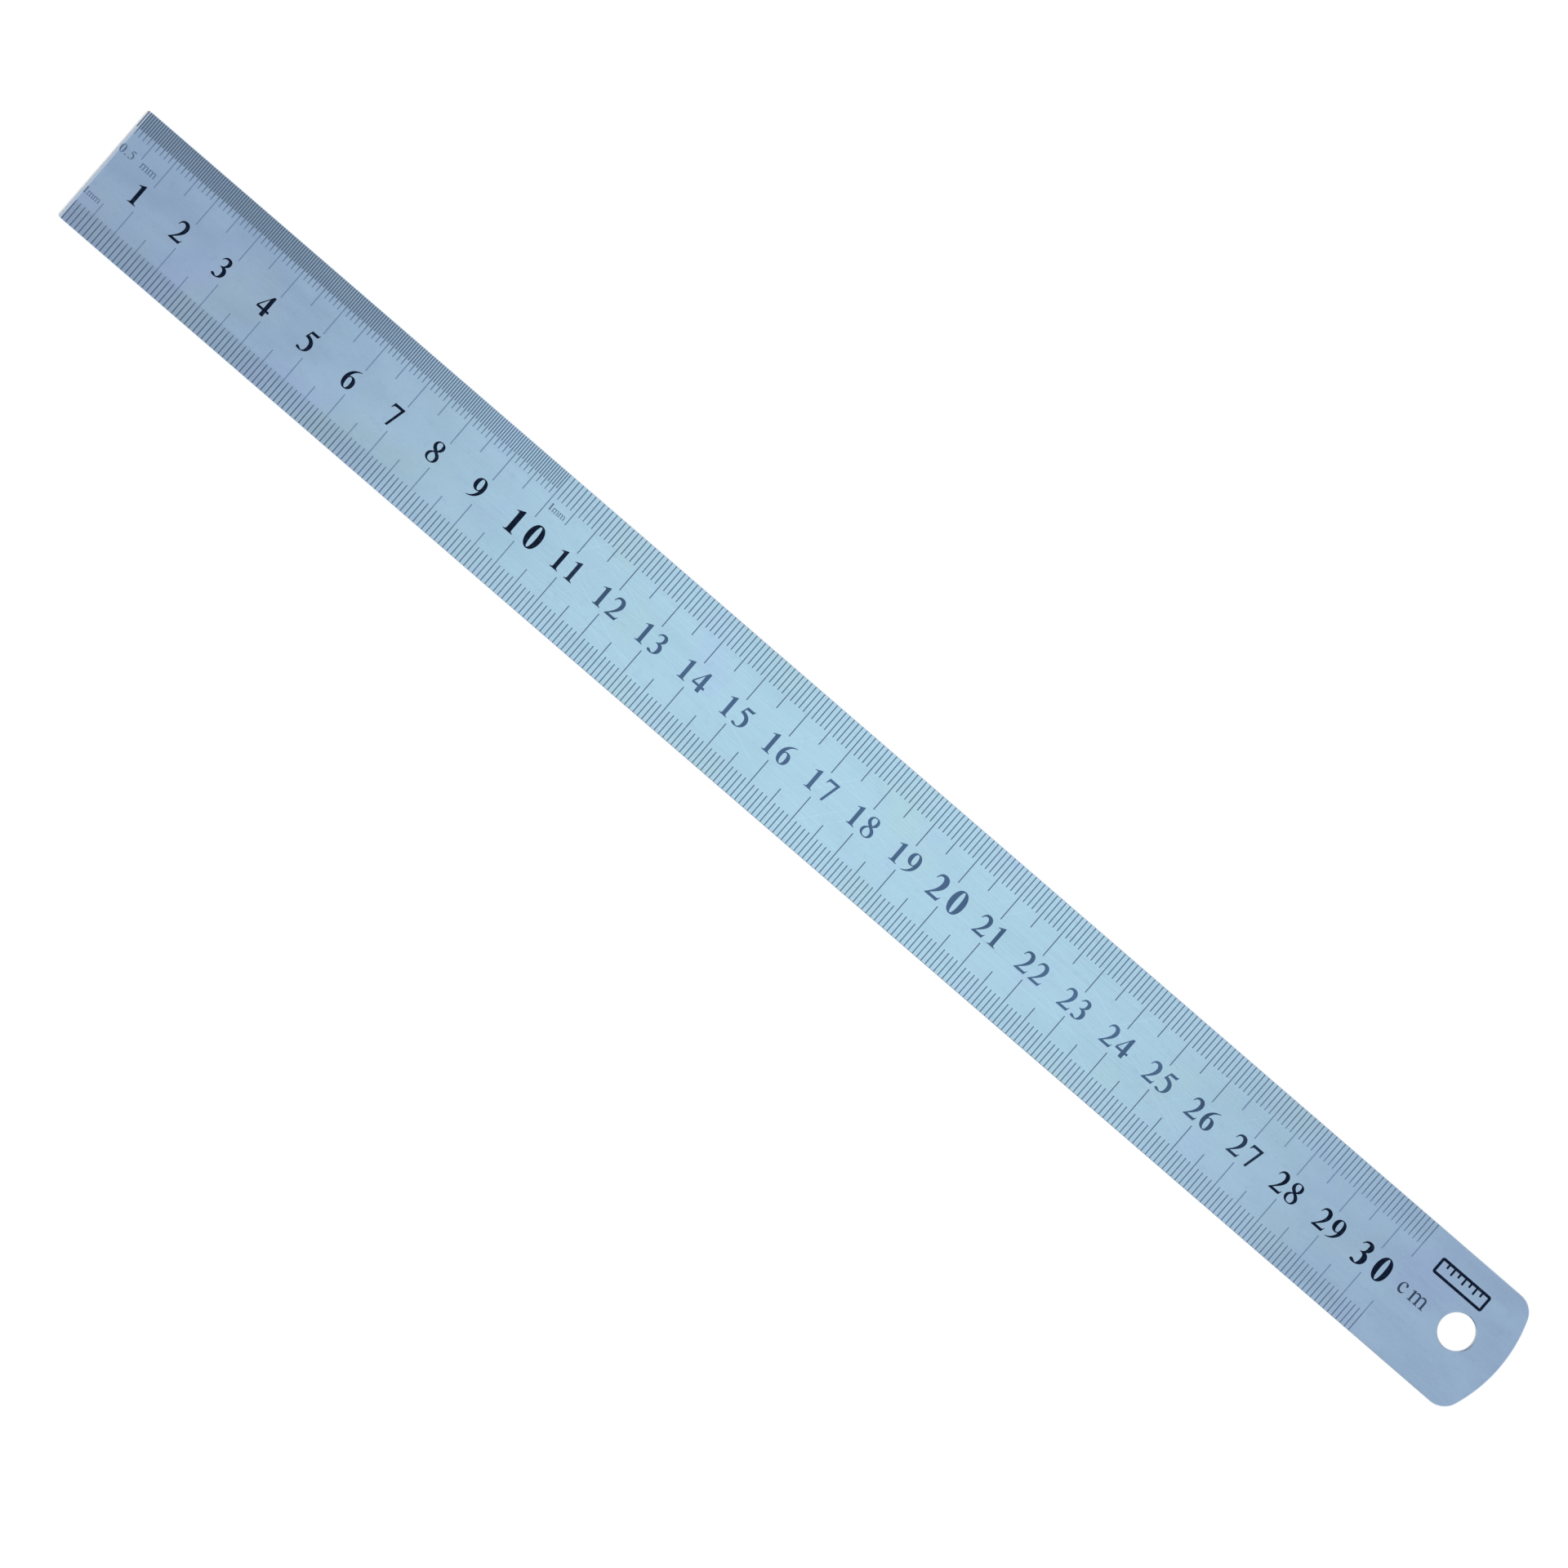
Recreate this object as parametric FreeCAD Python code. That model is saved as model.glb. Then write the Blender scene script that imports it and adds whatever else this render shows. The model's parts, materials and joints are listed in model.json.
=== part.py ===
"""Steel rule, 300 mm, photo-etched on one face and filled with black enamel.

Frame, in millimetres: the origin is the middle of the zero end, at half the blade's
thickness. +X runs along the scale towards the hanging hole, +Y towards the edge that is
divided in half millimetres, and +Z out of the graduated face.

The rule is one stamped strip of steel. Its graduations, numerals and legends are shallow
recesses in the face, and each recess holds its own body of enamel, a little below the
steel. One STEP file is written for the strip and for each group of enamel bodies.
"""

import FreeCAD, Part
import math
import os

# Blade
LENGTH = 330.0
WIDTH = 25.0
THICKNESS = 1.0
TIP_RADIUS = 28.5            # the one arc that closes the hanging end
TIP_CORNER_RADIUS = 4.0      # blends that arc into the long edges
ZERO_CORNER_RADIUS = 0.4
HOLE_DIAMETER = 7.0
HOLE_FROM_TIP = 10.0
EDGE_BREAK = 0.15            # 45 degree break on every edge of the strip
ZERO_BEVEL_LENGTH = 0.35     # wider bevel on the face at the zero end
ZERO_BEVEL_DEPTH = 0.2

# Etching and enamel
ETCH_DEPTH = 0.07
ENAMEL_SETBACK = 0.01        # the enamel lies this far below the face
CUTTER_RISE = 0.3            # how far a recess cutter stands above the face
ARTWORK_Y = -0.3             # the printed artwork's centre line, a little off the blade's

# Graduations: lengths run inwards from a blade edge to the artwork's own depth
LINE_WIDTH = 0.2
HALF_MM_LENGTH = 3.3
MM_LENGTH = 4.7
FIVE_MM_LENGTH = 7.3
CM_LENGTH = 9.7
SCALE_END = 305              # last graduation
HALF_MM_END = 100            # the half millimetres stop here

# Numerals
FIGURE_HEIGHT = 4.05
FIGURE_PITCH = 3.25
FIGURE_STEM = 19.5           # thick stroke, in percent of the height
DECADE_HEIGHT = 4.7
DECADE_PITCH = 4.45
DECADE_STEM = 23.0
SINGLE_FIGURE_X = -1.45      # single figures stand to the left of their graduations,
SINGLE_FIGURE_DRIFT = 0.05   # each this much nearer to its own than the one before
LAST_NUMERAL = 30
DRIFT_FROM = 26              # after this number each one stands
NUMERAL_DRIFT = 0.08         # this much further past its graduation

# Legends
LEGEND_STEM = 19.0
FIGURE_TO_LETTER = 1.6       # height of a legend's figures over that of its letters
CM_LEGEND_X = 306.6
CM_LETTER_HEIGHT = 2.15
HALF_MM_LEGEND_X = 0.65
HALF_MM_LEGEND_Y = 3.55
HALF_MM_LETTER_HEIGHT = 1.05
MM_LEGEND_X = 0.55           # from the place on the scale that the legend follows
MM_LEGEND_RISE = 5.5         # from the artwork's centre line
MM_LETTER_HEIGHT = 0.86

# Maker's emblem: a small picture of a rule
EMBLEM_X = 309.4
EMBLEM_Y = 5.3
EMBLEM_LENGTH = 11.4
EMBLEM_HEIGHT = 3.4
EMBLEM_LINE = 0.55
EMBLEM_TICKS = 7
EMBLEM_TICK_WIDTH = 0.4
EMBLEM_TICK_LENGTH = 1.3
EMBLEM_CORNER = 0.5

FACE_Z = THICKNESS / 2.0
FLOOR_Z = FACE_Z - ETCH_DEPTH
ENAMEL_Z = FACE_Z - ENAMEL_SETBACK
UP = FreeCAD.Vector(0, 0, 1)
TINY = 1e-6


# ---------------------------------------------------------------- letter shapes
# A letter is a list of closed outlines, the outside first and its counters after it. An
# outline starts with a point; after that two numbers are a straight line's end, and six
# are a curve's two handles and its end. Units are percent of the height; "stem" is the
# width of a thick stroke.

def oval(centre_x, centre_y, radius_x, radius_y):
    """An upright oval, a little squarer than an ellipse."""
    hx = 0.56 * radius_x
    hy = 0.62 * radius_y
    left = centre_x - radius_x
    right = centre_x + radius_x
    low = centre_y - radius_y
    high = centre_y + radius_y
    return [
        (right, centre_y),
        (right, centre_y + hy, centre_x + hx, high, centre_x, high),
        (centre_x - hx, high, left, centre_y + hy, left, centre_y),
        (left, centre_y - hy, centre_x - hx, low, centre_x, low),
        (centre_x + hx, low, right, centre_y - hy, right, centre_y),
    ]


def zero(stem):
    return [oval(31, 50, 33, 52), oval(31, 50, 33 - stem, 47)]


def one(stem):
    left = 33 - stem / 2
    right = 33 + stem / 2
    return [[
        (11, 0), (55, 0), (55, 3.5),
        (right + 3, 4, right, 7, right, 14),
        (right, 102), (right - 4, 102), (9, 88), (10, 84.5),
        (left - 3, 89, left, 88, left, 80),
        (left, 14),
        (left, 7, left - 3, 4, 11, 3.5),
    ]]


def two(stem):
    inner = 58 - stem
    return [[
        (1, 0), (58, 0), (65, 21), (62.5, 22),
        (59, 14, 56, 12.5, 49, 12.5),
        (18, 12.5),
        (34, 28, 58, 46, 58, 72),
        (58, 90, 47, 102, 30, 102),
        (14, 102, 5, 91, 2, 72),
        (5, 71.5),
        (9, 84, 15, 89, 24, 89),
        (inner - 6, 89, inner, 80, inner, 68),
        (inner, 47, 24, 26, 1, 3.5),
    ]]


def three(stem):
    inner = 58 - stem
    return [[
        (4, 80),
        (9, 94, 18, 102, 31, 102),
        (45, 102, 54, 93, 54, 81),
        (54, 70, 48, 63, 38, 57.5),
        (51, 53, 58, 44, 58, 32),
        (58, 12, 41, -2, 18, -2),
        (7, -2, 1, 1, 1, 6),
        (1, 10, 4, 12, 8, 12),
        (17, 12, 20, 4, 28, 4),
        (inner - 5, 4, inner, 14, inner, 25),
        (inner, 40, 34, 48, 15, 49.5),
        (15, 52),
        (29, 55, inner - 2, 64, inner - 2, 76),
        (inner - 2, 86, 34, 91, 26, 91),
        (18, 91, 11, 87, 6.5, 78.5),
    ]]


def four(stem):
    left = 54 - stem
    return [
        [(0, 23), (0, 34), (43, 102), (54, 102), (54, 34), (67, 34), (67, 23),
         (54, 23), (54, 0), (left, 0), (left, 23)],
        [(left, 34), (left, 81), (8, 34)],
    ]


def five(stem):
    inner = 61 - stem
    return [[
        (19, 100), (51, 100),
        (55, 100, 57, 101, 59.5, 104),
        (62, 103), (55, 87), (21, 87), (17, 76.5),
        (43, 73, 61, 60, 61, 36),
        (61, 14, 43, -2, 18, -2),
        (6, -2, 0, 1, 0, 6),
        (0, 10, 3, 12, 7, 12),
        (15, 12, 19, 4, 28, 4),
        (inner - 6, 4, inner, 15, inner, 31),
        (inner, 51, 32, 61, 6, 62.5),
    ]]


def six(stem):
    inner = 63 - stem
    left = 1 + stem
    neck = 3 + stem
    return [
        [(60, 102),
         (28, 98, 1, 74, 1, 38),
         (1, 14, 13, -2, 32, -2),
         (51, -2, 63, 12, 63, 32),
         (63, 50, 52, 62, 37, 62),
         (31, 62, 26, 60, neck - 1, 57),
         (neck + 4, 79, 40, 93, 60, 99.5)],
        [(neck, 50),
         (neck + 3, 54, 28, 55.5, 32, 55.5),
         (inner - 5, 55.5, inner, 44, inner, 28),
         (inner, 12, inner - 4, 3, 34, 3),
         (26, 3, left, 16, left, 36),
         (left, 42, neck - 1, 46, neck, 50)],
    ]


def seven(stem):
    return [[
        (6, 100), (62, 100), (62, 96),
        (35 + stem / 6, -2), (23 + stem / 6, -2), (47, 87), (20, 87),
        (11, 87, 8, 83, 3, 73),
        (0, 74),
    ]]


def eight(stem):
    upper = 57 - 0.8 * stem
    lower = 62 - 0.8 * stem
    return [
        [(31, 102),
         (47, 102, 57, 93, 57, 79),
         (57, 68, 51, 61, 40, 54.5),
         (55, 46, 62, 38, 62, 26),
         (62, 9, 49, -2, 31, -2),
         (13, -2, 0, 8, 0, 23),
         (0, 35, 8, 43, 22, 50),
         (9, 58, 3, 66, 3, 76),
         (3, 91, 15, 102, 31, 102)],
        [(31, 97),
         (21, 97, 17, 91, 17, 83),
         (17, 75, 24, 67, 35, 60),
         (upper - 3, 65, upper, 71, upper, 79),
         (upper, 90, 40, 97, 31, 97)],
        [(27, 46),
         (38, 40, lower, 31, lower, 20),
         (lower, 9, 42, 3, 32, 3),
         (20, 3, 14, 10, 14, 24),
         (14, 33, 18, 40, 27, 46)],
    ]


def half_turn(outlines, centre_x, centre_y):
    """The same outlines turned upside down about a point."""
    centre = (2 * centre_x, 2 * centre_y)
    turned = []
    for outline in outlines:
        turned.append([tuple(centre[i % 2] - v for i, v in enumerate(step)) for step in outline])
    return turned


def nine(stem):
    return half_turn(six(stem), 31, 50)


def letter_c(stem):
    return [[
        (76, 27),
        (66, 7, 56, -2, 40, -2),
        (15, -2, 0, 18, 0, 48),
        (0, 80, 20, 102, 45, 102),
        (62, 102, 74, 93, 74, 80),
        (74, 73, 70, 69, 64, 69),
        (50, 69, 58, 94, 40, 94),
        (27, 94, stem, 80, stem, 56),
        (stem, 30, 31, 14, 49, 14),
        (60, 14, 67, 19, 73, 29),
    ]]


def letter_m(stem):
    """Three stems on feet; each arch springs from the stem to its left."""
    pitch = 60
    foot = 14
    points = []
    for k in range(3):
        left = foot + k * pitch
        right = left + stem
        if k:
            points.append((left - 29, 89, left - 14, 89, left - 10, 88))
            points.append((left - 3, 86, left, 82, left, 70))
        points.extend([(left, 9), (left - foot, 5), (left - foot, 0)])
        points.extend([(right + foot, 0), (right + foot, 5), (right, 9)])
        if k < 2:
            points.append((right, 78))
    outer = foot + 2 * pitch + stem
    points.append((outer, 70))
    for k in (1, 0):
        left = foot + k * pitch
        right = left + stem
        crown = right + 33
        shoulder = (outer, 93) if k else (crown + 15, 96)
        points.append(shoulder + (crown + 9, 103, crown - 5, 103))
        points.append((crown - 16, 103, right + 7, 97, right, 85))
        if k:
            points.append((right - 1, 87))
    points.extend([(foot + stem, 103), (foot + stem - 5, 103), (0, 92), (1, 87), (foot, 87)])
    return [points]


def full_stop(stem):
    return [oval(0.5 * stem, 0.35 * stem, 0.5 * stem, 0.5 * stem)]


SHAPES = {
    "0": zero, "1": one, "2": two, "3": three, "4": four, "5": five, "6": six,
    "7": seven, "8": eight, "9": nine, "c": letter_c, "m": letter_m, ".": full_stop,
}
FIGURE_CENTRE = 31.0         # the middle of every figure's cell, in percent of the height
ADVANCE = {"0": 0.8, "1": 0.66, "5": 0.85, ".": 0.45, "c": 1.2, "m": 1.68}
SPACE = 1.25                 # a legend's word space, in letter heights


def outline_wire(outline, height, x, y):
    """The closed wire of one outline, its corner placed at x, y on the enamel's floor."""
    def place(px, py):
        return FreeCAD.Vector(x + px * height / 100.0, y + py * height / 100.0, FLOOR_Z)

    edges = []
    here = place(*outline[0])
    for step in list(outline[1:]) + [outline[0]]:
        poles = [here] + [place(step[i], step[i + 1]) for i in range(0, len(step), 2)]
        here = poles[-1]
        if len(poles) == 2 and poles[0].distanceToPoint(poles[1]) > TINY:
            edges.append(Part.LineSegment(poles[0], poles[1]).toShape())
        if len(poles) == 4:
            curve = Part.BezierCurve()
            curve.setPoles(poles)
            edges.append(curve.toShape())
    return Part.Wire(edges)


def letter_face(character, height, stem, x, y):
    wires = [outline_wire(o, height, x, y) for o in SHAPES[character](stem)]
    face = Part.Face(wires[0])
    for counter in wires[1:]:
        face = face.cut(Part.Face(counter))
    return face


# ---------------------------------------------------------------- graduations

def line_length(tenths):
    """Length of the graduation at this many tenths of a millimetre, from a blade edge."""
    if tenths % 100 == 0:
        return CM_LENGTH
    if tenths % 50 == 0:
        return FIVE_MM_LENGTH
    if tenths % 10 == 0:
        return MM_LENGTH
    return HALF_MM_LENGTH


def line_positions(length):
    """Every place on the scale, in millimetres, whose graduation has this length."""
    last = 10 * HALF_MM_END if length == HALF_MM_LENGTH else 10 * SCALE_END
    return [t / 10.0 for t in range(5, last + 1, 5) if line_length(t) == length]


def line_face(x, side, length):
    """Outline of one line, from its inner end to just past the blade's edge."""
    inner = ARTWORK_Y + side * (WIDTH / 2.0 - length)
    outer = side * (WIDTH / 2.0 + CUTTER_RISE)
    low = min(inner, outer)
    corner = FreeCAD.Vector(x - LINE_WIDTH / 2.0, low, FLOOR_Z)
    return Part.makePlane(LINE_WIDTH, abs(outer - inner), corner, UP)


def line_faces(side, length):
    return [line_face(x, side, length) for x in line_positions(length)]


# ---------------------------------------------------------------- numerals and legends

def numeral_faces(number):
    """The figures of one centimetre number; a two-figure number straddles its line."""
    decade = number % 10 == 0
    height = DECADE_HEIGHT if decade else FIGURE_HEIGHT
    pitch = DECADE_PITCH if decade else FIGURE_PITCH
    stem = DECADE_STEM if decade else FIGURE_STEM
    first = -pitch / 2.0 + NUMERAL_DRIFT * max(0, number - DRIFT_FROM)
    if number < 10:
        first = SINGLE_FIGURE_X + SINGLE_FIGURE_DRIFT * number
    faces = []
    for k, character in enumerate(str(number)):
        centre = 10.0 * number + first + k * pitch
        left = centre - FIGURE_CENTRE * height / 100.0
        faces.append(letter_face(character, height, stem, left, ARTWORK_Y - height / 2.0))
    return faces


def legend_faces(text, letter_height, x, y):
    """A legend on one base line, starting at x; its figures are taller than its letters."""
    faces = []
    for character in text:
        if character == " ":
            x += SPACE * letter_height
            continue
        height = letter_height if character in "cm" else FIGURE_TO_LETTER * letter_height
        faces.append(letter_face(character, height, LEGEND_STEM, x, y))
        x += ADVANCE[character] * height
    return faces


def centimetre_legend():
    return legend_faces("cm", CM_LETTER_HEIGHT, CM_LEGEND_X, ARTWORK_Y - CM_LETTER_HEIGHT / 2.0)


def half_millimetre_legend():
    return legend_faces("0.5 mm", HALF_MM_LETTER_HEIGHT, HALF_MM_LEGEND_X, HALF_MM_LEGEND_Y)


def millimetre_legend(after, side):
    """The legend of a whole-millimetre edge, just after a place on the scale."""
    y = ARTWORK_Y + side * MM_LEGEND_RISE
    if side < 0:
        y -= MM_LETTER_HEIGHT / 2.0
    return legend_faces("1mm", MM_LETTER_HEIGHT, after + MM_LEGEND_X, y)


def is_upright(edge):
    ends = [v.Point for v in edge.Vertexes]
    if len(ends) != 2:
        return False
    span = ends[1].sub(ends[0])
    return abs(span.z) > TINY and span.cross(UP).Length < TINY


def rounded_rectangle(x, y, length, height, radius):
    """A face with round corners, on the enamel's floor."""
    plate = Part.makePlane(length, height, FreeCAD.Vector(x, y, FLOOR_Z), UP)
    slab = plate.extrude(UP)
    slab = slab.makeFillet(radius, [e for e in slab.Edges if is_upright(e)])
    return [f for f in slab.Faces if abs(f.CenterOfMass.z - FLOOR_Z) < TINY][0]


def emblem_faces():
    """A rule in outline, with short ticks hanging from its upper side."""
    body = rounded_rectangle(EMBLEM_X, EMBLEM_Y, EMBLEM_LENGTH, EMBLEM_HEIGHT, EMBLEM_CORNER)
    inner_length = EMBLEM_LENGTH - 2 * EMBLEM_LINE
    inner_height = EMBLEM_HEIGHT - 2 * EMBLEM_LINE
    corner = FreeCAD.Vector(EMBLEM_X + EMBLEM_LINE, EMBLEM_Y + EMBLEM_LINE, FLOOR_Z)
    opening = Part.makePlane(inner_length, inner_height, corner, UP)
    pitch = inner_length / (EMBLEM_TICKS + 1)
    for k in range(1, EMBLEM_TICKS + 1):
        length = EMBLEM_TICK_LENGTH if k % 2 == 0 else 0.6 * EMBLEM_TICK_LENGTH
        x = corner.x + k * pitch - EMBLEM_TICK_WIDTH / 2.0
        y = corner.y + inner_height - length
        tick = Part.makePlane(EMBLEM_TICK_WIDTH, length, FreeCAD.Vector(x, y, FLOOR_Z), UP)
        opening = opening.cut(tick)
    return [body.cut(opening)]


# ---------------------------------------------------------------- blade

def tip_corner():
    """Where the corner fillet meets the long edge, and where it meets the tip arc."""
    arc_centre_x = LENGTH - TIP_RADIUS
    fillet_y = WIDTH / 2.0 - TIP_CORNER_RADIUS
    reach = TIP_RADIUS - TIP_CORNER_RADIUS
    fillet_x = arc_centre_x + math.sqrt(reach ** 2 - fillet_y ** 2)
    scale = TIP_RADIUS / reach
    touch_x = arc_centre_x + scale * (fillet_x - arc_centre_x)
    middle = math.atan2(fillet_y, fillet_x - arc_centre_x)
    halfway = (middle + math.pi / 2) / 2
    return {
        "edge": (fillet_x, WIDTH / 2.0),
        "middle": (fillet_x + TIP_CORNER_RADIUS * math.cos(halfway),
                   fillet_y + TIP_CORNER_RADIUS * math.sin(halfway)),
        "arc": (touch_x, scale * fillet_y),
    }


def blade_outline():
    """The strip seen from above: square zero end, arc at the hanging end."""
    z = -FACE_Z
    half = WIDTH / 2.0
    corner = tip_corner()

    def point(xy, side):
        return FreeCAD.Vector(xy[0], side * xy[1], z)

    start = FreeCAD.Vector(0, -half, z)
    top_start = FreeCAD.Vector(0, half, z)
    tip = FreeCAD.Vector(LENGTH, 0, z)
    edges = [
        Part.LineSegment(start, point(corner["edge"], -1)).toShape(),
        Part.Arc(point(corner["edge"], -1), point(corner["middle"], -1), point(corner["arc"], -1)).toShape(),
        Part.Arc(point(corner["arc"], -1), tip, point(corner["arc"], 1)).toShape(),
        Part.Arc(point(corner["arc"], 1), point(corner["middle"], 1), point(corner["edge"], 1)).toShape(),
        Part.LineSegment(point(corner["edge"], 1), top_start).toShape(),
        Part.LineSegment(top_start, start).toShape(),
    ]
    return Part.Face(Part.Wire(edges))


def rim_edges(solid):
    """Every edge that lies in the face or in the back."""
    return [e for e in solid.Edges if all(abs(abs(v.Point.z) - FACE_Z) < TINY for v in e.Vertexes)]


def zero_end_bevel():
    """The wedge that the bevel takes off the face at the zero end."""
    rise = ZERO_BEVEL_DEPTH / ZERO_BEVEL_LENGTH
    far = -1.0
    profile = [
        FreeCAD.Vector(far, -WIDTH, FACE_Z - ZERO_BEVEL_DEPTH + rise * far),
        FreeCAD.Vector(2 * ZERO_BEVEL_LENGTH, -WIDTH, FACE_Z + ZERO_BEVEL_DEPTH),
        FreeCAD.Vector(far, -WIDTH, FACE_Z + ZERO_BEVEL_DEPTH),
    ]
    face = Part.Face(Part.makePolygon(profile + profile[:1]))
    return face.extrude(FreeCAD.Vector(0, 2 * WIDTH, 0))


def blade_blank():
    """The strip before etching: stamped, punched, edges broken, zero end bevelled."""
    blank = blade_outline().extrude(UP * THICKNESS)
    ends = [e for e in blank.Edges if is_upright(e) and e.Vertexes[0].Point.x < TINY]
    blank = blank.makeFillet(ZERO_CORNER_RADIUS, ends)
    hole_at = FreeCAD.Vector(LENGTH - HOLE_FROM_TIP, 0, -THICKNESS)
    blank = blank.cut(Part.makeCylinder(HOLE_DIAMETER / 2.0, 2 * THICKNESS, hole_at, UP))
    blank = blank.makeChamfer(EDGE_BREAK, rim_edges(blank))
    return blank.cut(zero_end_bevel())


def recess_cutters(faces):
    rise = UP * (FACE_Z + CUTTER_RISE - FLOOR_Z)
    return [solid for face in faces for solid in face.extrude(rise).Solids]


def enamel(faces, blank):
    """The fill of these recesses: as thick as the etching, cut to the blank's outside."""
    bodies = [solid for face in faces for solid in face.extrude(UP * (ENAMEL_Z - FLOOR_Z)).Solids]
    return Part.makeCompound([s for b in bodies for s in b.common(blank).Solids])


def artwork():
    """Every marking as a list of flat faces, by the name of its node."""
    marks = {
        "half_millimetre_lines": line_faces(1, HALF_MM_LENGTH),
        "upper_millimetre_lines": line_faces(1, MM_LENGTH),
        "upper_five_millimetre_lines": line_faces(1, FIVE_MM_LENGTH),
        "upper_centimetre_lines": line_faces(1, CM_LENGTH),
        "lower_millimetre_lines": line_faces(-1, MM_LENGTH),
        "lower_five_millimetre_lines": line_faces(-1, FIVE_MM_LENGTH),
        "lower_centimetre_lines": line_faces(-1, CM_LENGTH),
        "half_millimetre_legend": half_millimetre_legend(),
        "upper_millimetre_legend": millimetre_legend(HALF_MM_END, 1),
        "lower_millimetre_legend": millimetre_legend(0, -1),
        "centimetre_legend": centimetre_legend(),
        "maker_emblem": emblem_faces(),
    }
    for number in range(1, LAST_NUMERAL + 1):
        marks["numeral_%02d" % number] = numeral_faces(number)
    return marks


def main():
    os.makedirs("parts", exist_ok=True)
    blank = blade_blank()
    marks = artwork()
    cutters = []
    for name, faces in marks.items():
        cutters.extend(recess_cutters(faces))
        enamel(faces, blank).exportStep("parts/" + name + ".step")
    blank.cut(cutters).exportStep("parts/blade.step")


main()
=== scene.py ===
"""Looks of a 300 mm steel rule: a satin steel blade with true etched recesses, and enamel in them.

Geometry is worked out in millimetres and turned into metres as a mesh is made. The blade is
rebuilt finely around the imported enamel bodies, whose undersides give the recesses' outlines.
"""

import json
import math

import bpy
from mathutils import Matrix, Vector
from mathutils.geometry import delaunay_2d_cdt


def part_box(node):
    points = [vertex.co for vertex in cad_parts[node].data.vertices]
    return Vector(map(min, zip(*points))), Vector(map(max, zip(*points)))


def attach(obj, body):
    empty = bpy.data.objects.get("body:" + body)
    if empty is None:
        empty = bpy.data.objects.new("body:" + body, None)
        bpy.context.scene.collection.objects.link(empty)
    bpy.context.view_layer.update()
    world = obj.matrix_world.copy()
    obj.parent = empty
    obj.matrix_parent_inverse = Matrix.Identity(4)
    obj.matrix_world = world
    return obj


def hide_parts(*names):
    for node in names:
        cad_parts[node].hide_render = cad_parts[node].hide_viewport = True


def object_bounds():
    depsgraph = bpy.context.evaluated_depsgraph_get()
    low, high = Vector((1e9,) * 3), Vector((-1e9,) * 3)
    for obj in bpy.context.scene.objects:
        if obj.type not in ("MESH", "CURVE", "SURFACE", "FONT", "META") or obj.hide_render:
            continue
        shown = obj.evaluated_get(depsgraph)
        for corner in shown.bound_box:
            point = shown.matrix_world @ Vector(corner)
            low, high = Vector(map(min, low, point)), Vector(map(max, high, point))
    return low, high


MM = 0.001
BLADE_NODE = "blade"

# Blade details that the frame's box doesn't give, in millimetres
TIP_RADIUS = 28.5
TIP_CORNER_RADIUS = 4.0
ZERO_CORNER_RADIUS = 0.4
EDGE_BREAK = 0.15
ZERO_BEVEL_LENGTH = 0.35
ZERO_BEVEL_DEPTH = 0.2

# How finely round stretches are divided
TIP_STEPS = 72
CORNER_STEPS = 20
ZERO_CORNER_STEPS = 5
HOLE_STEPS = 96

TINY = 1e-4
SHARP_ANGLE = math.radians(20.0)      # edges that turn more than this stay crisp

# Tones of the steel
STEEL_DARKER = (0.565, 0.61, 0.65)
STEEL_LIGHTER = (0.63, 0.675, 0.71)
STEEL_WARM = (0.635, 0.66, 0.60)
STEEL_COOL = (0.60, 0.585, 0.72)
STEEL_MOTTLED = (0.50, 0.545, 0.59)
STEEL_SCRATCHED = (0.74, 0.77, 0.79)
STEEL_DARK_REFLECTION = (0.27, 0.29, 0.27)
# painted dark reflection along the edges near zero
STEEL_SHEARED = (0.36, 0.38, 0.41)
# painted highlight: a near-white strip along the zero end
STEEL_ZERO_END_HIGHLIGHT = (1.0, 0.95, 0.88)

# Tones of the enamel: as laid, and a pale one where it is worn thin, which on figures and lines
# also stands for painted glare in the middle of the blade
FIGURE_FRESH = (0.0015, 0.006, 0.022)
# pale tone: painted glare in the middle of the blade, and small wear patches
FIGURE_WEAR_AND_GLARE = (0.18, 0.27, 0.39)
LINE_FRESH = (0.003, 0.006, 0.014)
# pale tone: thin enamel, and painted glare in the middle of the blade
LINE_WEAR_AND_GLARE = (0.36, 0.42, 0.53)
LEGEND_FRESH = (0.03, 0.045, 0.075)
LEGEND_WORN = (0.30, 0.36, 0.43)

# Camera; lengths in millimetres
CAMERA_TURN = math.radians(40.82)     # the scale runs down to the right by this angle
CAMERA_TARGET = (164.9, -4.5)         # the place on the rule at the picture's centre
CAMERA_HEIGHT = 500.0
FRAME_WIDTH = 280.3                   # width of the picture at the blade
SENSOR = 36.0

# Sky, seen only by what it lights
SKY_LOW = (0.30, 0.36, 0.46)
SKY_HIGH = (0.445, 0.57, 0.775)
SKY_HIGH_FROM = 0.75                  # sine of the height above which the sky is even
BACKDROP = (1.0, 1.0, 1.0)            # what the camera sees in its place
LOBE_DIRECTION = math.radians(105.0)  # from +X to the first of the sky's three bright lobes
LOBE_STRENGTH = 0.8

# Floor; lengths in metres
FLOOR_SIZE = 80.0
FLOOR_GAP = 0.00002                   # between the blade's back and the floor
FLOOR_TONES = ((0.88, 0.88, 0.88), (0.92, 0.92, 0.92))
FLOOR_GLOW = (0.64, 0.57, 0.50)       # warm, to offset the cool sky


# ---------------------------------------------------------------- outlines

def arc(centre, radius, start, end, steps):
    """Points of an arc, both ends included; angles in radians."""
    turn = (end - start) / steps
    angles = [start + k * turn for k in range(steps + 1)]
    return [(centre[0] + radius * math.cos(a), centre[1] + radius * math.sin(a)) for a in angles]


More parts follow.
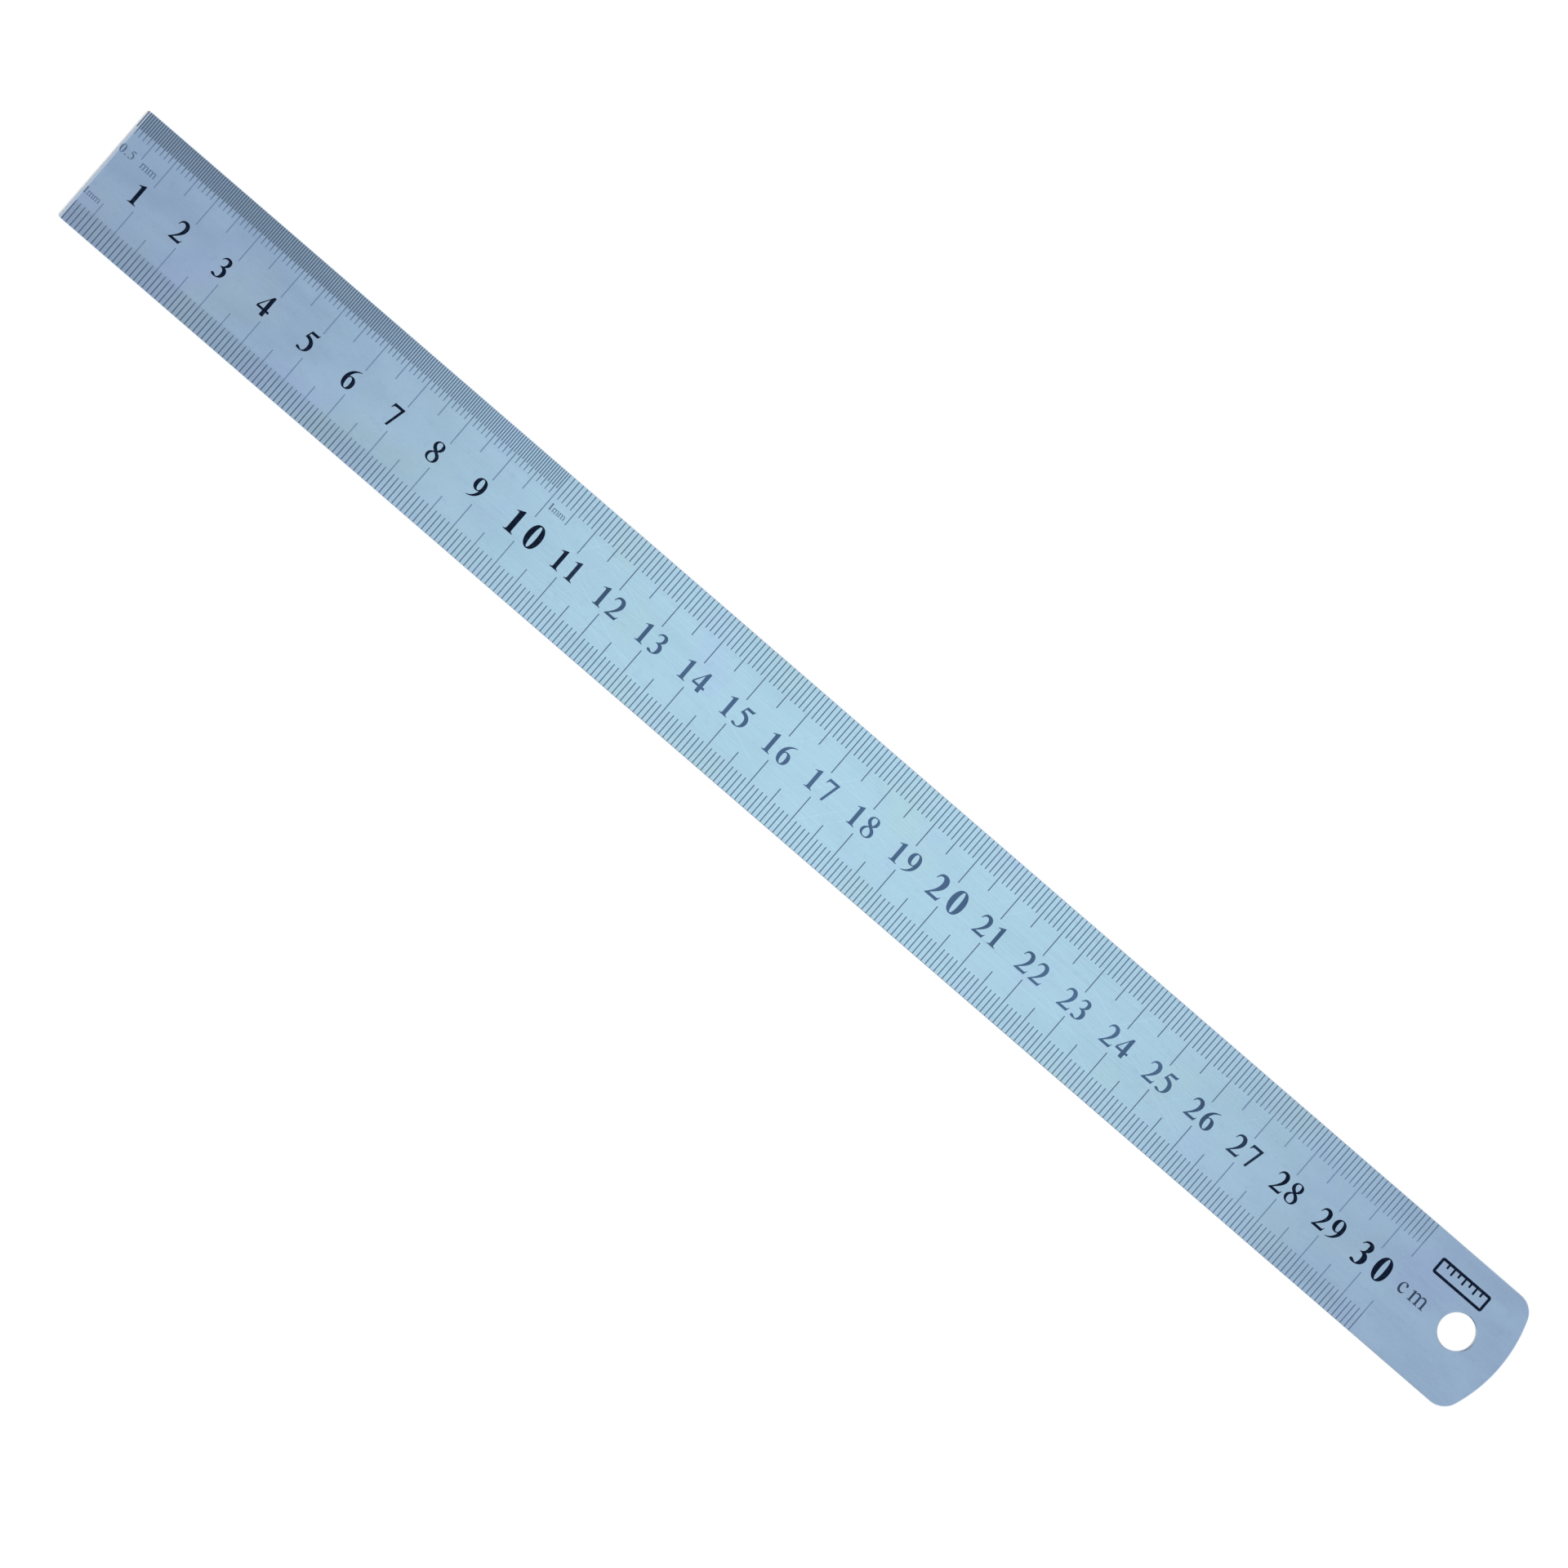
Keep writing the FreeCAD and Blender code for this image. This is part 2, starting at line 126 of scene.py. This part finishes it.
class Blade:
    """The strip's measures, and the height of its upper surface at any place."""

    def __init__(self, record):
        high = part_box(BLADE_NODE)[1]
        self.length = high.x / MM
        self.half_width = high.y / MM
        self.face_z = high.z / MM
        hole = next(m for m in record["mounts"] if m["name"] == "hang_hole")
        self.hole = (hole["pos_m"][0] / MM, hole["pos_m"][1] / MM)
        self.hole_radius = hole["dims"]["r_mm"]
        self.tip = (self.length - TIP_RADIUS, 0.0)
        corner_y = self.half_width - TIP_CORNER_RADIUS
        reach = TIP_RADIUS - TIP_CORNER_RADIUS
        self.corner = (self.tip[0] + math.sqrt(reach ** 2 - corner_y ** 2), corner_y)
        self.corner_angle = math.asin(corner_y / reach)

    def ring(self, inset):
        """The outline moved inwards, counter-clockwise from the lower zero corner."""
        quarter = math.pi / 2
        phi = self.corner_angle
        zero_y = self.half_width - ZERO_CORNER_RADIUS
        zero_radius = ZERO_CORNER_RADIUS - inset
        corner_x, corner_y = self.corner
        corner_radius = TIP_CORNER_RADIUS - inset
        lower_zero = (ZERO_CORNER_RADIUS, -zero_y)
        upper_zero = (ZERO_CORNER_RADIUS, zero_y)
        points = arc(lower_zero, zero_radius, -2 * quarter, -quarter, ZERO_CORNER_STEPS)
        points += arc((corner_x, -corner_y), corner_radius, -quarter, -phi, CORNER_STEPS)
        points += arc(self.tip, TIP_RADIUS - inset, -phi, phi, TIP_STEPS)[1:-1]
        points += arc(self.corner, corner_radius, phi, quarter, CORNER_STEPS)
        points += arc(upper_zero, zero_radius, quarter, 2 * quarter, ZERO_CORNER_STEPS)
        return points

    def hole_ring(self, outset):
        return arc(self.hole, self.hole_radius + outset, 0.0, 2 * math.pi, HOLE_STEPS)[:-1]

    def depth_inside(self, x, y):
        """How far a place is inside the outline, for places near it."""
        y = abs(y)
        if x < ZERO_CORNER_RADIUS and y > self.half_width - ZERO_CORNER_RADIUS:
            off = math.hypot(ZERO_CORNER_RADIUS - x, y - self.half_width + ZERO_CORNER_RADIUS)
            return ZERO_CORNER_RADIUS - off
        if x > self.corner[0]:
            away = (x - self.corner[0], y - self.corner[1])
            if math.atan2(away[1], away[0]) > self.corner_angle:
                return TIP_CORNER_RADIUS - math.hypot(*away)
            return TIP_RADIUS - math.hypot(x - self.tip[0], y)
        return min(x, self.half_width - y)

    def top(self, x, y):
        """Height of the upper surface: flat face, edge break, hole break or zero bevel."""
        rim = self.face_z - EDGE_BREAK
        hole_depth = math.hypot(x - self.hole[0], y - self.hole[1]) - self.hole_radius
        bevel = self.face_z - ZERO_BEVEL_DEPTH * (1.0 - x / ZERO_BEVEL_LENGTH)
        return min(self.face_z, rim + self.depth_inside(x, y), rim + hole_depth, bevel)


def underside_loops(node):
    """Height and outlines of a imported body's underside, in millimetres, as seen from above.

    The loops keep the body on their left, so an outside runs counter-clockwise and a
    counter clockwise.
    """
    mesh = node.data
    mesh.calc_loop_triangles()
    points = [(round(v.co.x / MM, 4), round(v.co.y / MM, 4)) for v in mesh.vertices]
    floor = min(v.co.z for v in mesh.vertices)
    low = [v.co.z - floor < TINY * MM for v in mesh.vertices]
    sides = set()
    for triangle in mesh.loop_triangles:
        if not all(low[i] for i in triangle.vertices):
            continue
        a, b, c = (points[i] for i in triangle.vertices)
        if (b[0] - a[0]) * (c[1] - a[1]) - (b[1] - a[1]) * (c[0] - a[0]) < 0:
            b, c = c, b
        sides.update([(a, b), (b, c), (c, a)])
    following = {a: b for a, b in sides if (b, a) not in sides}
    loops = []
    while following:
        start, here = following.popitem()
        loop = [start]
        while here != start:
            loop.append(here)
            here = following.pop(here)
        loops.append(loop)
    return floor / MM, loops


# ---------------------------------------------------------------- blade mesh

class MeshMaker:
    """Collects faces over shared points, in millimetres."""

    def __init__(self):
        self.points = []
        self.index = {}
        self.faces = []

    def vertex(self, x, y, z):
        key = (round(x, 4), round(y, 4), round(z, 4))
        if key not in self.index:
            self.index[key] = len(self.points)
            self.points.append((x * MM, y * MM, z * MM))
        return self.index[key]

    def face(self, *corners):
        """Adds a face, leaving out corners that coincide with the one before."""
        found = [self.vertex(*c) for c in corners]
        kept = [v for k, v in enumerate(found) if v != found[k - 1]]
        if len(kept) > 2:
            self.faces.append(kept)

    def band(self, ring_a, z_a, ring_b, z_b):
        """Quads between two matching rings; ring_a is above or inside for outward normals."""
        count = len(ring_a)
        for k in range(count):
            j = (k + 1) % count
            a, b, c, d = ring_a[k], ring_b[k], ring_b[j], ring_a[j]
            self.face((*a, z_a(*a)), (*b, z_b(*b)), (*c, z_b(*c)), (*d, z_a(*d)))

    def mesh(self, name):
        mesh = bpy.data.meshes.new(name)
        mesh.from_pydata(self.points, [], self.faces)
        mesh.validate()
        return mesh


def triangulate(loops, extra_edges):
    """Delaunay triangles over closed loops, with the loops that hold each triangle."""
    points = []
    edges = []
    faces = []
    for loop in loops:
        first = len(points)
        points.extend(loop)
        faces.append(list(range(first, first + len(loop))))
    for a, b in extra_edges:
        edges.append((len(points), len(points) + 1))
        points.extend([a, b])
    vectors = [Vector(p) for p in points]
    found, _, triangles, origins, _, holders = delaunay_2d_cdt(vectors, edges, faces, 1, 1e-6)
    corners = [points[o[0]] if o else (p.x, p.y) for p, o in zip(found, origins)]
    return corners, triangles, holders


def add_graduated_face(maker, blade, recesses, floor_z):
    """The upper surface with every recess sunk to floor_z."""
    loops = [blade.ring(0.0), blade.hole_ring(0.0)] + recesses
    edge_y = blade.half_width - EDGE_BREAK
    lines = [((ZERO_BEVEL_LENGTH, -edge_y), (ZERO_BEVEL_LENGTH, edge_y))]
    for ring in (blade.ring(EDGE_BREAK), blade.hole_ring(EDGE_BREAK)):
        lines.extend(zip(ring, ring[1:] + ring[:1]))
    corners, triangles, holders = triangulate(loops, lines)
    side_of = {}
    for triangle, held in zip(triangles, holders):
        if 1 in held:
            continue
        sunk = sum(1 for h in held if h > 1) % 2 == 1
        spots = [corners[i] for i in triangle]
        maker.face(*[(x, y, floor_z if sunk else blade.top(x, y)) for x, y in spots])
        for k in range(3):
            side_of[(triangle[k], triangle[(k + 1) % 3])] = sunk
    for (i, j), sunk in side_of.items():
        if sunk or not side_of.get((j, i), False):
            continue
        a, b = corners[i], corners[j]
        maker.face((*b, blade.top(*b)), (*a, blade.top(*a)), (*a, floor_z), (*b, floor_z))


def add_sides_and_back(maker, blade):
    """Edges, hole wall and plain back."""
    outer = blade.ring(0.0)
    inner = blade.ring(EDGE_BREAK)
    hole = blade.hole_ring(0.0)
    hole_rim = blade.hole_ring(EDGE_BREAK)

    def back(x, y):
        return -blade.face_z

    def back_rim(x, y):
        return -blade.face_z + EDGE_BREAK

    maker.band(outer, blade.top, outer, back_rim)
    maker.band(outer, back_rim, inner, back)
    maker.band(hole, back_rim, hole, blade.top)
    maker.band(hole_rim, back, hole, back_rim)
    corners, triangles, holders = triangulate([inner, hole_rim], [])
    for triangle, held in zip(triangles, holders):
        if 1 not in held:
            spots = [corners[i] for i in reversed(triangle)]
            maker.face(*[(x, y, back(x, y)) for x, y in spots])


def build_blade(frame):
    """The visible blade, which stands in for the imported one."""
    blade = Blade(frame["record"])
    recesses = []
    for name, node in sorted(frame["nodes"].items()):
        if name != BLADE_NODE:
            floor_z, loops = underside_loops(node)
            recesses.extend(loops)
    maker = MeshMaker()
    add_graduated_face(maker, blade, recesses, floor_z)
    add_sides_and_back(maker, blade)
    mesh = maker.mesh("steel_blade")
    mesh.shade_smooth()
    mesh.set_sharp_from_angle(angle=SHARP_ANGLE)
    piece = bpy.data.objects.new("steel_blade", mesh)
    bpy.context.scene.collection.objects.link(piece)
    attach(piece, "root")
    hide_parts(BLADE_NODE)
    mesh.materials.append(steel_material())


# ---------------------------------------------------------------- shader nodes

class Nodes:
    """A node tree, with short ways to add and join nodes. RGB tones are given as tuples."""

    def __init__(self, tree, coordinates):
        self.tree = tree
        self.place = self.add("ShaderNodeTexCoord").outputs[coordinates]

    def add(self, kind, **settings):
        node = self.tree.nodes.new(kind)
        for key, value in settings.items():
            setattr(node, key, value)
        return node

    def fill(self, socket, value):
        """Joins a socket to another, or sets it to a tone or a plain value."""
        if isinstance(value, bpy.types.NodeSocket):
            self.tree.links.new(value, socket)
        elif isinstance(value, tuple):
            socket.default_value = (*value, 1.0)
        else:
            socket.default_value = value

    def math(self, operation, *values):
        node = self.add("ShaderNodeMath", operation=operation)
        for socket, value in zip(node.inputs, values):
            self.fill(socket, value)
        return node.outputs[0]

    def blend(self, share, a, b):
        node = self.add("ShaderNodeMix", data_type="RGBA")
        for k, value in ((0, share), (6, a), (7, b)):
            self.fill(node.inputs[k], value)
        return node.outputs[2]

    def scale(self, vector, factor):
        node = self.add("ShaderNodeVectorMath", operation="SCALE")
        self.fill(node.inputs[0], vector)
        self.fill(node.inputs["Scale"], factor)
        return node.outputs[0]

    def axes(self, vector):
        split = self.add("ShaderNodeSeparateXYZ")
        self.fill(split.inputs[0], vector)
        return split.outputs


class Surface(Nodes):
    """A material's nodes; places and lengths are in millimetres."""

    def __init__(self, name):
        self.material = bpy.data.materials.new(name)
        self.material.use_nodes = True
        super().__init__(self.material.node_tree, "Object")
        self.shader = self.tree.nodes["Principled BSDF"]

    def set(self, name, value):
        self.fill(self.shader.inputs[name], value)

    def axes_mm(self):
        """The three object coordinates."""
        return self.axes(self.scale(self.place, 1.0 / MM))

    def mapping(self, vector, per_unit, turn=0.0):
        """A vector turned about Z, times a factor for each axis."""
        node = self.add("ShaderNodeMapping")
        self.fill(node.inputs["Vector"], vector)
        node.inputs["Rotation"].default_value = (0.0, 0.0, turn)
        node.inputs["Scale"].default_value = per_unit
        return node.outputs["Vector"]

    def noise_at(self, vector, detail, roughness):
        node = self.add("ShaderNodeTexNoise")
        self.fill(node.inputs["Vector"], vector)
        node.inputs["Scale"].default_value = 1.0
        node.inputs["Detail"].default_value = detail
        node.inputs["Roughness"].default_value = roughness
        return node.outputs["Fac"]

    def noise(self, per_mm, detail=3.0, roughness=0.5):
        """Noise over the piece, with this many cells in a millimetre along each axis."""
        place = self.mapping(self.place, [s / MM for s in per_mm])
        return self.noise_at(place, detail, roughness)

    def remap(self, value, low, high, to_low=0.0, to_high=1.0):
        """A smooth step of value from low..high to to_low..to_high."""
        node = self.add("ShaderNodeMapRange", interpolation_type="SMOOTHSTEP")
        for socket, v in zip(node.inputs, (value, low, high, to_low, to_high)):
            self.fill(socket, v)
        return node.outputs["Result"]

    def bump(self, height, distance, strength=1.0, under=None):
        node = self.add("ShaderNodeBump")
        node.inputs["Strength"].default_value = strength
        node.inputs["Distance"].default_value = distance * MM
        self.fill(node.inputs["Height"], height)
        if under is not None:
            self.fill(node.inputs["Normal"], under)
        return node.outputs["Normal"]


# ---------------------------------------------------------------- steel

def scratches(surface, angle, length, across, threshold):
    """Thin stray lines at an angle to the blade: 1 on a scratch, 0 elsewhere."""
    turned = surface.mapping(surface.place, (1.0 / MM, 1.0 / MM, 1.0 / MM), angle)
    squeezed = surface.mapping(turned, (1.0 / length, 1.0 / across, 1.0))
    cells = surface.noise_at(squeezed, 0.0, 0.5)
    return surface.remap(cells, threshold, threshold + 0.04)


def sheared_side(surface):
    """1 on the upright sides and the hole's wall, which the press left dull."""
    z = surface.math("ABSOLUTE", surface.axes_mm()[2])
    return surface.remap(z, 0.28, 0.36, 1.0, 0.0)


def painted_dark_reflection(surface, x, y, z):
    """Share of painted dark reflection on the face along both edges, strongest near zero."""
    upper = surface.remap(y, 8.6, 9.2, 0.0, 0.4)
    lower = surface.remap(y, -8.6, -7.6, 0.19, 0.0)
    dark_share = surface.math("MAXIMUM", upper, lower)
    dark_share = surface.math("MULTIPLY", dark_share, surface.remap(z, 0.3, 0.45))
    return surface.math("MULTIPLY", dark_share, surface.remap(x, 35.0, 88.0, 1.0, 0.0))


def steel_colour(surface, cloud, mottle, marks, sheared):
    """Pale grey steel: clouded and tinted in places, with a painted dark reflection along the
    edges near zero and a painted highlight at the zero end.
    """
    x, y, z = surface.axes_mm()
    warm = surface.noise((0.045, 0.06, 0.06))
    cool = surface.noise((0.06, 0.05, 0.09))
    colour = surface.blend(surface.remap(cloud, 0.3, 0.7), STEEL_DARKER, STEEL_LIGHTER)
    layers = [
        (surface.remap(warm, 0.52, 0.68, 0.0, 0.4), STEEL_WARM),
        (surface.remap(cool, 0.54, 0.70, 0.0, 0.4), STEEL_COOL),
        (surface.remap(mottle, 0.55, 0.75, 0.0, 0.35), STEEL_MOTTLED),
        (surface.math("MULTIPLY", marks, 0.05), STEEL_SCRATCHED),
        # painted dark reflection along both edges near zero
        (painted_dark_reflection(surface, x, y, z), STEEL_DARK_REFLECTION),
        (surface.math("MULTIPLY", sheared, 0.7), STEEL_SHEARED),
        # painted highlight: the zero end's first millimetre turned near-white
        (surface.remap(x, 0.65, 1.0, 0.95, 0.0), STEEL_ZERO_END_HIGHLIGHT),
    ]
    for share, tone in layers:
        colour = surface.blend(share, colour, tone)
    return colour


def steel_roughness(surface, grain, cloud, marks, sheared):
    grained = surface.remap(grain, 0.3, 0.7, 0.26, 0.34)
    clouded = surface.remap(cloud, 0.35, 0.75, -0.02, 0.04)
    rough = surface.math("ADD", grained, clouded)
    rough = surface.math("SUBTRACT", rough, surface.math("MULTIPLY", marks, 0.05))
    return surface.math("ADD", rough, surface.math("MULTIPLY", sheared, 0.12))


def steel_material():
    """Satin ground steel: fine grain along the blade, clouding and stray handling scratches."""
    surface = Surface("satin_steel")
    grain = surface.noise((0.03, 7.0, 7.0), detail=4.0, roughness=0.6)
    cloud = surface.noise((0.05, 0.12, 0.12), detail=4.0, roughness=0.55)
    mottle = surface.noise((0.7, 0.7, 0.7), roughness=0.6)
    shallow = scratches(surface, 0.35, 45.0, 0.25, 0.76)
    steep = scratches(surface, -0.9, 30.0, 0.2, 0.77)
    marks = surface.math("MAXIMUM", shallow, steep)
    sheared = sheared_side(surface)
    surface.set("Base Color", steel_colour(surface, cloud, mottle, marks, sheared))
    surface.set("Metallic", 1.0)
    surface.set("Roughness", steel_roughness(surface, grain, cloud, marks, sheared))

    zero_end = surface.remap(surface.axes_mm()[0], 0.1, 0.5)
    normal = surface.bump(grain, 0.004, 0.6)
    normal = surface.bump(marks, -0.003, 0.1, under=normal)
    normal = surface.bump(zero_end, 0.12, under=normal)
    surface.set("Normal", surface.bump(mottle, 0.01, 0.35, under=normal))
    return surface.material


# ---------------------------------------------------------------- enamel

def finish_enamel(surface, share, fresh, wear_and_glare):
    """Baked enamel between two tones: share is how far it goes to the pale one, which is wear and,
    on figures and lines, painted glare; small patches of wear on top.
    """
    patch = surface.noise((1.6, 1.6, 1.6), detail=4.0, roughness=0.65)
    share = surface.math("ADD", share, surface.remap(patch, 0.45, 0.8, 0.0, 0.15))
    surface.set("Base Color", surface.blend(share, fresh, wear_and_glare))
    surface.set("Roughness", surface.remap(patch, 0.3, 0.7, 0.45, 0.6))
    surface.set("Specular IOR Level", 0.12)
    surface.set("Normal", surface.bump(patch, 0.01, 0.3))
    return surface.material


def figure_enamel():
    """Numerals: nearly black at both ends, pale in the middle of the blade, where glare of the
    overhead light is painted in.
    """
    surface = Surface("enamel_in_figures")
    x = surface.axes_mm()[0]
    glare_noise = surface.noise((0.05, 0.05, 0.05), detail=2.0)
    rises = surface.remap(x, 106.0, 128.0)
    falls = surface.remap(x, 246.0, 280.0, 1.0, 0.0)
    held = surface.math("MULTIPLY", rises, falls)
    # painted glare: the middle of the blade turns pale, unevenly
    share = surface.math("MULTIPLY", held, surface.remap(glare_noise, 0.35, 0.6, 0.64, 0.85))
    return finish_enamel(surface, share, FIGURE_FRESH, FIGURE_WEAR_AND_GLARE)


def line_enamel():
    """Graduations: thin and pale, paler still at their inner ends in the middle of the blade where
    glare is painted in, and darker by the edges near zero where a dark reflection is painted in.
    """
    surface = Surface("enamel_in_lines")
    x, y, _ = surface.axes_mm()
    rises = surface.remap(x, 95.0, 120.0)
    falls = surface.remap(x, 250.0, 280.0, 1.0, 0.0)
    middle = surface.math("MULTIPLY", rises, falls)
    # painted glare: inner ends paler in the middle of the blade
    inner = surface.remap(middle, 0.0, 1.0, 0.85, 0.55)
    # painted dark reflection: outer ends darker near zero
    outer = surface.remap(x, 40.0, 108.0, 0.38, 0.55)
    share = surface.remap(surface.math("ABSOLUTE", y), 7.4, 9.4, inner, outer)
    return finish_enamel(surface, share, LINE_FRESH, LINE_WEAR_AND_GLARE)


def legend_enamel():
    """Small legends: the enamel has run thin in their hairlines."""
    surface = Surface("enamel_in_legends")
    share = surface.remap(surface.axes_mm()[0], 200.0, 300.0, 0.6, 0.12)
    return finish_enamel(surface, share, LEGEND_FRESH, LEGEND_WORN)


def dress_enamel(frame):
    """Gives each enamel node its material, by the ending of its name."""
    figures = figure_enamel()
    endings = {"_lines": line_enamel(), "_legend": legend_enamel()}
    for name, node in frame["nodes"].items():
        if name == BLADE_NODE:
            continue
        found = [m for ending, m in endings.items() if name.endswith(ending)]
        node.data.materials.clear()
        node.data.materials.append(found[0] if found else figures)


# ---------------------------------------------------------------- studio

def add_floor(blade_low):
    spot = (0.16, 0.0, blade_low - FLOOR_GAP)
    bpy.ops.mesh.primitive_plane_add(size=FLOOR_SIZE, location=spot)
    floor = bpy.context.object
    floor.name = "floor"
    surface = Surface("white_card")
    tone = surface.noise((0.002, 0.002, 0.002), detail=2.0)
    surface.set("Base Color", surface.blend(tone, *FLOOR_TONES))
    surface.set("Roughness", 0.9)
    surface.set("Specular IOR Level", 0.1)
    surface.set("Emission Color", FLOOR_GLOW)
    surface.set("Emission Strength", 1.0)
    floor.data.materials.append(surface.material)


def add_world():
    """A cool sky that lights the rule: darker low down, with three broad bright lobes around it.

    With r the level part of a direction and a its angle from the first lobe, the lobes are
    r^3 cos 3a, so they fade out overhead. The camera itself sees a plain pale backdrop.
    """
    world = bpy.data.worlds.new("sky_dome")
    world.use_nodes = True
    nodes = Nodes(world.node_tree, "Generated")
    turn = nodes.add("ShaderNodeVectorRotate", rotation_type="Z_AXIS")
    nodes.fill(turn.inputs["Vector"], nodes.place)
    nodes.fill(turn.inputs["Angle"], -LOBE_DIRECTION)
    x, y, z = nodes.axes(turn.outputs["Vector"])
    x_squared = nodes.math("MULTIPLY", x, x)
    y_squared = nodes.math("MULTIPLY", y, y)
    lobes = nodes.math("MULTIPLY", nodes.math("MULTIPLY_ADD", y_squared, -3.0, x_squared), x)
    strength = nodes.math("MULTIPLY_ADD", lobes, LOBE_STRENGTH, 1.0)
    rise = nodes.add("ShaderNodeMapRange")
    nodes.fill(rise.inputs["Value"], z)
    nodes.fill(rise.inputs["From Max"], SKY_HIGH_FROM)
    sky = nodes.scale(nodes.blend(rise.outputs["Result"], SKY_LOW, SKY_HIGH), strength)
    path = nodes.add("ShaderNodeLightPath")
    seen = nodes.blend(path.outputs["Is Camera Ray"], sky, BACKDROP)
    nodes.fill(nodes.tree.nodes["Background"].inputs["Color"], seen)
    bpy.context.scene.world = world


def add_softbox(name, location, tilt, size, power, colour):
    """A rectangular lamp tilted about Y, hidden from the camera; metres and watts."""
    data = bpy.data.lights.new(name, "AREA")
    data.shape = "RECTANGLE"
    data.size, data.size_y = size
    data.energy = power
    data.color = colour
    lamp = bpy.data.objects.new(name, data)
    lamp.location = location
    lamp.rotation_euler = (0.0, math.radians(tilt), 0.0)
    lamp.visible_camera = False
    bpy.context.scene.collection.objects.link(lamp)


def add_lights():
    add_world()
    add_softbox("overhead_softbox", (0.19, 0.0, 0.62), 0.0, (0.42, 0.5), 0.36, (0.58, 0.98, 0.87))
    add_softbox("zero_end_softbox", (-0.5, 0.0, 0.15), -83.0, (0.16, 0.6), 0.12, (1.0, 0.98, 0.95))


def add_camera(face_z):
    data = bpy.data.cameras.new("camera")
    data.sensor_width = SENSOR
    data.lens = SENSOR * CAMERA_HEIGHT / FRAME_WIDTH
    data.clip_start = 0.01
    camera = bpy.data.objects.new("camera", data)
    x, y = CAMERA_TARGET
    camera.location = (x * MM, y * MM, CAMERA_HEIGHT * MM + face_z)
    camera.rotation_euler = (0.0, 0.0, CAMERA_TURN)
    bpy.context.scene.collection.objects.link(camera)
    bpy.context.scene.camera = camera


with open("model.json") as file:
    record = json.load(file)
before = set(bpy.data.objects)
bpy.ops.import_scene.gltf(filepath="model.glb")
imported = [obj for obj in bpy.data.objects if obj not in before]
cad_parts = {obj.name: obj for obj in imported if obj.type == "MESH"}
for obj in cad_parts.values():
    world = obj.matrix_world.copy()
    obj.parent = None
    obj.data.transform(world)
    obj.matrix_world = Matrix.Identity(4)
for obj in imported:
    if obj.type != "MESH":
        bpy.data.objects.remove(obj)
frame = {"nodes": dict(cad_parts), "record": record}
cad_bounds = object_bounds()
build_blade(frame)
dress_enamel(frame)
add_floor(cad_bounds[0][2])
add_lights()
add_camera(cad_bounds[1][2])
bpy.context.scene.view_settings.view_transform = "Standard"
